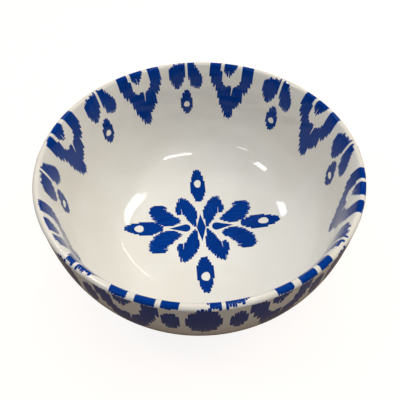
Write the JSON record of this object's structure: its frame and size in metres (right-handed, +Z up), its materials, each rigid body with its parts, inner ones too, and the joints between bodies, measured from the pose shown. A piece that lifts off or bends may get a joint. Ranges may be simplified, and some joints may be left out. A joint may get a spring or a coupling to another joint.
{
  "type": "serving bowl",
  "caption": "Deep round glazed porcelain serving bowl with a foot ring, a blue woven-look border inside and out, and a matching medallion on the floor.",
  "frame": {"origin": "centre of the circle on which the foot ring stands", "axes": "+Z up through the mouth along the axis of the bowl, -Y to the front of the medallion, +X to its right"},
  "size_m": [0.2552, 0.2552, 0.112],
  "materials": {
    "bare_porcelain": "unglazed fired porcelain, fine and matt",
    "clear_glaze": "warm white, high gloss",
    "printed_blue": "cobalt blue ceramic colour fired into the glaze, high gloss"
  },
  "bodies": {
    "root": {"clay_body": "bare_porcelain", "glaze_coat": "clear_glaze", "foot_recess_glaze": "clear_glaze", "medallion_diamond": "printed_blue", "medallion_teardrops": "printed_blue", "medallion_eye_drops": "printed_blue", "medallion_steep_petals": "printed_blue", "medallion_flat_petals": "printed_blue", "inside_arrows": "printed_blue", "inside_arrow_cores": "printed_blue", "inside_leaf_pairs": "printed_blue", "inside_eye_drops": "printed_blue", "outside_arrows": "printed_blue", "outside_arrow_cores": "printed_blue", "outside_plumes": "printed_blue", "outside_feathers": "printed_blue"}
  },
  "joints": []
}
